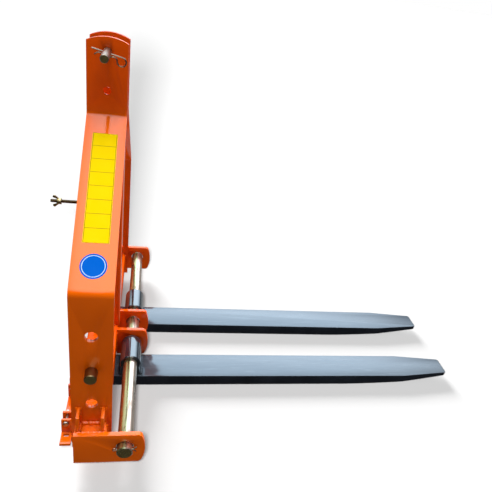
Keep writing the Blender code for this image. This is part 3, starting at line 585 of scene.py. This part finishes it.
def resample(path, step):
    """Points at an even spacing along a polyline, with the tangent at each."""
    made = []
    for first, second in zip(path, path[1:]):
        first, second = Vector(first), Vector(second)
        along = (second - first).normalized()
        count = max(1, round((second - first).length / step))
        for i in range(count):
            made.append((first.lerp(second, i / count), along))
    made.append((Vector(path[-1]), along))
    return made


def tube_faces(rings, sides):
    """The faces of a closed tube whose points are given ring by ring."""
    faces = []
    for i in range(rings - 1):
        for k in range(sides):
            first, second = i * sides + k, i * sides + (k + 1) % sides
            faces.append((first, second, second + sides, first + sides))
    last_ring = (rings - 1) * sides
    faces.append(tuple(range(sides))[::-1])
    faces.append(tuple(last_ring + k for k in range(sides)))
    return faces


def weld_bead(name, path, radius, material, body="frame"):
    """A rippled weld bead along a path."""
    stations = resample(path, radius * BEAD_STEP)
    verts, faces = [], []
    travelled = 0.0
    last = stations[0][0]
    phase = rng.random() * 6.28
    for index, (point, along) in enumerate(stations):
        travelled += (point - last).length
        last = point
        side = along.orthogonal().normalized()
        up = along.cross(side)
        wave = BEAD_RIPPLE * math.sin(travelled / (radius * BEAD_WAVE) + phase)
        ripple = 1 + wave + rng.uniform(-BEAD_ROUGHNESS, BEAD_ROUGHNESS)
        ends = min(index, len(stations) - 1 - index)
        size = radius * ripple * (0.35 if ends == 0 else 0.8 if ends == 1 else 1.0)
        for k in range(BEAD_SIDES):
            angle = math.tau * k / BEAD_SIDES
            verts.append(point + size * (side * math.cos(angle) + up * math.sin(angle)))
    return mesh_piece(name, verts, tube_faces(len(stations), BEAD_SIDES), material, body)


def bead_along_x(name, start_x, end_x, y, z, radius, material):
    """A straight bead from the rear to the front."""
    weld_bead(name, [(start_x, y, z), (end_x, y, z)], radius, material)


def bead_up_beam(name, x, y, radius, material):
    """A straight upright bead of the beam's height."""
    low_z, high_z = BEAM_LOW.z + TUBE_CORNER, BEAM_HIGH.z - TUBE_CORNER
    weld_bead(name, [(x, y, low_z), (x, y, high_z)], radius, material)


def stub_beads(name, outer, lug, material):
    """The beads between a beam stub, its strap and its end lug."""
    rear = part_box(name + "_beam_stub")[0].x
    front = BEAM_FRONT_X
    bead_along_x(name + "_weld_strap_stub_top", rear + 0.004, front - 0.001, outer, BEAD_TOP_Z,
                 HEAVY_BEAD, material)
    bead_along_x(name + "_weld_stub_lug_top", rear + 0.002, front - 0.002, lug, BEAD_TOP_Z,
                 HEAVY_BEAD * 0.8, material)
    bead_up_beam(name + "_weld_strap_stub_front", front, outer, FAT_BEAD, material)
    bead_up_beam(name + "_weld_lug_stub_front", front, lug, THIN_BEAD, material)


def beam_beads(name, inner, material):
    """The beads between the lower beam and a strap."""
    rear, front = BEAM_REAR_X, BEAM_FRONT_X
    bead_along_x(name + "_weld_beam_strap_top", rear + TUBE_CORNER, front - TUBE_CORNER, inner,
                 BEAD_TOP_Z, FAT_BEAD, material)
    bead_up_beam(name + "_weld_beam_strap_front", front, inner, FAT_BEAD, material)
    bead_up_beam(name + "_weld_beam_strap_rear", rear, inner, FAT_BEAD, material)


def rib_beads(name, outer, foot_end, material):
    """The beads of both gussets on one side: along each face, and a flare at each top corner."""
    for rib, low, high in (("rear", REAR_RIB_LOW, REAR_RIB_HIGH),
                           ("front", FRONT_RIB_LOW, FRONT_RIB_HIGH)):
        for face, x in (("a", low.x - 0.0004), ("b", high.x + 0.0004)):
            weld_bead(f"{name}_weld_{rib}_rib_{face}",
                      [(x, outer, high.z - 0.001), (x, outer, BEAM_TOP_Z + 0.003),
                       (x, foot_end, BEAM_TOP_Z + 0.0015)], THIN_BEAD, material)
        for face, foot, flare in (("a", low.x, low.x - 0.002), ("b", high.x, high.x + 0.002)):
            weld_bead(f"{name}_weld_{rib}_rib_flare_{face}",
                      [(flare, outer, high.z), (foot, outer, high.z - 0.014)], FAT_BEAD, material)


def plate_beads(name, side, material):
    """The beads of a middle lug, a bracket plate and the post's upper end."""
    for face, corner, sense in zip(("low", "high"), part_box(name + "_mid_lug"), (-1, 1)):
        bead_up_beam(f"{name}_weld_mid_lug_{face}", BEAM_FRONT_X + 0.0008, corner.y + sense * 0.0006,
                     THIN_BEAD, material)
    weld_bead(name + "_weld_bracket",
              [(PLATE_HIGH.x, side * (STRAP_INNER_Y + 0.001), PLATE_HIGH.z + 0.0004),
               (PLATE_HIGH.x, side * (STRAP_LOWER_Y - 0.001), PLATE_HIGH.z + 0.0004)],
              THIN_BEAD, material)
    for edge, x in (("rear", POST_LOW.x + 0.001), ("front", POST_HIGH.x - 0.001)):
        weld_bead(f"{name}_weld_post_{edge}",
                  [(x, side * (POST_HIGH.y + 0.0008), STRAP_UPPER_BEND_Z - 0.004),
                   (x, side * (POST_HIGH.y + 0.0008), POST_HIGH.z - 0.002)], THIN_BEAD, material)


def frame_welds(material):
    """The beads that join the welded frame, side by side."""
    for name, side in SIDES.items():
        outer = side * (STRAP_LOWER_Y + BEAD_SINK)
        inner = side * (STRAP_INNER_Y - BEAD_SINK)
        lug = side * (END_LUG_INNER_Y - BEAD_SINK)
        stub_beads(name, outer, lug, material)
        beam_beads(name, inner, material)
        rib_beads(name, outer, side * (END_LUG_INNER_Y - 0.004), material)
        plate_beads(name, side, material)
    for edge, y in (("right", POST_LOW.y), ("left", POST_HIGH.y)):
        bead_along_x("weld_post_base_" + edge, BEAM_REAR_X + TUBE_CORNER, BEAM_FRONT_X - TUBE_CORNER,
                     y, BEAM_TOP_Z + THIN_BEAD * 0.4, FAT_BEAD, material)


def fork_welds(material):
    """The beads between each eye tube, its saddle and its blade; they ride on the fork's body.

    The rear beads are small, so that they pass the straps when a fork is slid right out."""
    for name in SIDES:
        low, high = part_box(name + "_fork_saddle")
        blade_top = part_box(name + "_fork_blade")[1].z
        for edge, x, sense, fillet in (("rear", low.x, -1, SADDLE_REAR_BEAD),
                                       ("front", high.x, 1, SADDLE_FRONT_BEAD)):
            weld_bead(f"{name}_weld_saddle_{edge}",
                      [(x + sense * 0.0008, low.y + 0.002, blade_top + 0.0014),
                       (x + sense * 0.0008, high.y - 0.002, blade_top + 0.0014)],
                      fillet, material, name + "_fork")
            weld_bead(f"{name}_weld_tube_{edge}",
                      [(x - sense * 0.0040, low.y + 0.002, high.z - 0.0005),
                       (x - sense * 0.0040, high.y - 0.002, high.z - 0.0005)],
                      FAT_BEAD, material, name + "_fork")


def rounded_outline(width, length, radius, steps=5):
    """A rounded rectangle about the origin."""
    points = []
    for sx, sy, start in ((1, 1, 0), (-1, 1, 90), (-1, -1, 180), (1, -1, 270)):
        centre = (sx * (width / 2 - radius), sy * (length / 2 - radius))
        for i in range(steps + 1):
            angle = math.radians(start + 90 * i / steps)
            points.append((centre[0] + radius * math.cos(angle),
                           centre[1] + radius * math.sin(angle)))
    return points


def sticker_piece(name, outline, material, place):
    """A thin flat piece with its outline in its own XY plane."""
    count = len(outline)
    verts = [(x, y, 0) for x, y in outline] + [(x, y, STICKER_THICK) for x, y in outline]
    faces = [tuple(range(count))[::-1], tuple(range(count, 2 * count))]
    faces += [(i, (i + 1) % count, count + (i + 1) % count, count + i) for i in range(count)]
    return mesh_piece(name, verts, faces, material, "frame", place)


def stickers():
    """A plain yellow ruled panel and a plain blue disc on the right strap's slope."""
    top = Vector((STRAP_X, -STRAP_UPPER_Y, STRAP_UPPER_BEND_Z))
    bottom = Vector((STRAP_X, -STRAP_LOWER_Y, STRAP_LOWER_BEND_Z))
    down = (bottom - top).normalized()
    across = Vector((1, 0, 0))
    out = across.cross(-down).normalized()
    turn = Matrix((across, -down, out)).transposed().to_4x4()

    def on_slope(distance, x):
        """A place on the slope, with the sticker's own Y up the slope."""
        return Matrix.Translation(top + down * distance + across * x + out * STICKER_LIFT) @ turn

    yellow = sticker("sticker_yellow", STICKER_YELLOW, ruled_cells)
    sticker_piece("label_panel", rounded_outline(PANEL_WIDTH, PANEL_LENGTH, PANEL_CORNER), yellow,
                  on_slope(PANEL_DOWN, PANEL_ACROSS))
    blue = sticker("sticker_blue", STICKER_BLUE, thin_ring)
    turns = [math.tau * i / DISC_SIDES for i in range(DISC_SIDES)]
    disc = [(DISC_RADIUS * math.cos(angle), DISC_RADIUS * math.sin(angle)) for angle in turns]
    sticker_piece("label_disc", disc, blue, on_slope(DISC_DOWN, 0.0))


def threaded_rod(name, start, length, radius, material, body):
    """A rod along X with a real helical thread, which runs out at both ends."""
    step = THREAD_PITCH / THREAD_STEPS
    rings = round(length / step)
    verts = []
    for i in range(rings + 1):
        along = i * step
        from_end = min(i, rings - i)
        for k in range(THREAD_SIDES):
            turn = k / THREAD_SIDES
            phase = (along / THREAD_PITCH - turn) % 1.0
            reach = radius - THREAD_DEPTH * abs(2 * phase - 1)
            if from_end < 5:
                reach = min(reach, radius - THREAD_DEPTH + from_end * 0.0001)
            angle = math.tau * turn
            verts.append((start[0] + along, start[1] + reach * math.cos(angle),
                          start[2] + reach * math.sin(angle)))
    return mesh_piece(name, verts, tube_faces(rings + 1, THREAD_SIDES), material, body)


def rear_stud(material):
    """The rear stud with its thread, in place of the plain one."""
    middle = (STUD_LOW + STUD_HIGH) / 2
    radius = (STUD_HIGH.z - STUD_LOW.z) / 2
    stud = threaded_rod("rear_stud_threaded", (STUD_LOW.x, middle.y, middle.z),
                        STUD_HIGH.x - STUD_LOW.x, radius, material, "frame")
    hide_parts("rear_stud")


# ---------------------------------------------------------------- stage, light and camera
def stage():
    """A large pale floor just under the blades."""
    half = FLOOR_HALF
    corners = [(-half, -half, 0), (half, -half, 0), (half, half, 0), (-half, half, 0)]
    mesh = bpy.data.meshes.new("floor")
    mesh.from_pydata(corners, [], [(0, 1, 2, 3)])
    mesh.materials.append(floor_material())
    floor = bpy.data.objects.new("floor", mesh)
    floor.location.z = CAD_BOX[0].z - FLOOR_DROP
    bpy.context.scene.collection.objects.link(floor)
    return floor


def group(name, objects):
    """A collection that only serves to link lights to objects."""
    made = bpy.data.collections.new(name)
    for obj in objects:
        made.objects.link(obj)
    return made


def sun(name, aim, width_deg, strength, lit, blockers=None):
    """A distant soft light from a direction, on some objects only, with no glint of its own."""
    data = bpy.data.lights.new(name, "SUN")
    data.angle = math.radians(width_deg)
    data.energy = strength
    light = bpy.data.objects.new(name, data)
    light.rotation_euler = Vector(aim).to_track_quat("Z", "Y").to_euler()
    light.visible_glossy = False
    light.light_linking.receiver_collection = group(name + "_lit", lit)
    if blockers:
        light.light_linking.blocker_collection = group(name + "_blockers", blockers)
    bpy.context.scene.collection.objects.link(light)


def toward(azimuth_deg, elevation_deg):
    """A direction: azimuth 0 is +Y and 90 is +X."""
    azimuth, elevation = math.radians(azimuth_deg), math.radians(elevation_deg)
    return (math.sin(azimuth) * math.cos(elevation), math.cos(azimuth) * math.cos(elevation),
            math.sin(elevation))


def floor_lamp(floor):
    """A lamp beside the camera that lights the floor evenly, so shadows fall just to the right."""
    data = bpy.data.lights.new("floor_lamp", "POINT")
    data.shadow_soft_size = LAMP_SIZE
    data.energy = FLOOR_LAMP
    data.use_nodes = True
    tree = Nodes(data.node_tree)
    even = tree.add("LightFalloff")
    even.inputs["Strength"].default_value = 1.0
    slant = tree.math("MULTIPLY", even.outputs["Constant"], tree.add("LightPath").outputs["Ray Length"])
    tree.join(slant, tree.tree.nodes["Emission"].inputs["Strength"])
    lamp = bpy.data.objects.new("floor_lamp", data)
    right, up = camera_axes()[1:]
    lamp.location = Vector(CAMERA_PLACE) - right * LAMP_LEFT + up * LAMP_ABOVE
    lamp.visible_glossy = False
    lamp.light_linking.receiver_collection = group("floor_lamp_lit", [floor])
    bpy.context.scene.collection.objects.link(lamp)


def lights(floor):
    """Soft boxes above and before the object; the floor has a low sun and a lamp of its own.

    Only the low pieces shade the floor from its sun, so that the mast's shadow comes from the lamp."""
    parts = [obj for obj in bpy.context.scene.objects if obj.type == "MESH" and obj != floor]
    low = [NODES["fork_shaft"], NODES["lower_beam"]]
    low += [NODES[side + piece] for side in SIDES for piece in
            ("_fork_blade", "_fork_eye_tube", "_end_lug", "_mid_lug", "_beam_stub")]
    sun("overhead", (0.0, 0.08, 1.0), SOFT_BOX_WIDTH, OVERHEAD, parts)
    sun("side", toward(68, 20), SOFT_BOX_WIDTH, SIDE, parts)
    sun("floor_sun", toward(-18, 24), FLOOR_SUN_WIDTH, FLOOR_SUN, [floor], low)
    floor_lamp(floor)


def world():
    """White to the camera, a weak glow to the object, and a bright ceiling to its reflections."""
    made = bpy.data.worlds.new("studio")
    bpy.context.scene.world = made
    made.use_nodes = True
    made.node_tree.nodes.clear()
    tree = Nodes(made.node_tree)
    direction = tree.add("TexCoord").outputs["Generated"]
    rays = tree.add("LightPath")

    def patch(aim, low, high, top):
        """A soft patch of light about a direction."""
        facing = tree.dot(direction, Vector(aim).normalized())
        return tree.remap(facing, low, high, 0.0, top, "SMOOTHSTEP")

    def glow(strength, colour=BACKGROUND_GREY):
        """An even background of a strength, which is a socket or a number."""
        node = tree.add("Background")
        node.inputs["Color"].default_value = (*colour, 1)
        if hasattr(strength, "links"):
            tree.join(strength, node.inputs["Strength"])
        else:
            node.inputs["Strength"].default_value = strength
        return node.outputs[0]

    def choose(ray, otherwise, chosen):
        """One shader for a kind of ray, another for the rest."""
        node = tree.add("MixShader")
        tree.join(rays.outputs[ray], node.inputs["Fac"])
        tree.join(otherwise, node.inputs[1])
        tree.join(chosen, node.inputs[2])
        return node.outputs[0]

    ceiling = tree.math("ADD", patch(*CEILING_PATCH), patch(*FRONT_PATCH))
    window = patch(*WINDOW_PATCH)
    mirrored = tree.add("AddShader")
    tree.join(glow(tree.math("ADD", ceiling, LEAST_MIRRORED)), mirrored.inputs[0])
    tree.join(glow(window, WINDOW_TONE), mirrored.inputs[1])
    by_ray = choose("Is Glossy Ray", glow(AMBIENT), mirrored.outputs[0])
    seen = choose("Is Camera Ray", by_ray, glow(1.0, (1, 1, 1)))
    tree.join(seen, tree.add("OutputWorld").inputs["Surface"])


def camera_axes():
    """The camera's forward, right and up directions."""
    forward = Vector((math.sin(CAMERA_YAW) * math.cos(CAMERA_PITCH),
                      math.cos(CAMERA_YAW) * math.cos(CAMERA_PITCH), math.sin(CAMERA_PITCH)))
    level = Vector((math.cos(CAMERA_YAW), -math.sin(CAMERA_YAW), 0))
    upright = level.cross(forward)
    right = level * math.cos(CAMERA_ROLL) + upright * math.sin(CAMERA_ROLL)
    up = upright * math.cos(CAMERA_ROLL) - level * math.sin(CAMERA_ROLL)
    return forward, right, up


def camera():
    """A wide, close camera above the right-hand side, slightly rolled."""
    data = bpy.data.cameras.new("camera")
    data.sensor_width = CAMERA_SENSOR
    data.lens = CAMERA_LENS
    forward, right, up = camera_axes()
    turn = Matrix((right, up, -forward)).transposed().to_4x4()
    made = bpy.data.objects.new("camera", data)
    made.matrix_world = Matrix.Translation(CAMERA_PLACE) @ turn
    bpy.context.scene.collection.objects.link(made)
    bpy.context.scene.camera = made


dress_nodes()
frame_welds(orange_paint("orange_weld", ripple=True))
fork_welds(tube_paint("weld_paint", gloss=0.15))
stickers()
rear_stud(brassy_zinc("dark_thread", (0.30, 0.28, 0.24)))
lights(stage())
world()
camera()
bpy.context.scene.view_settings.view_transform = "Standard"
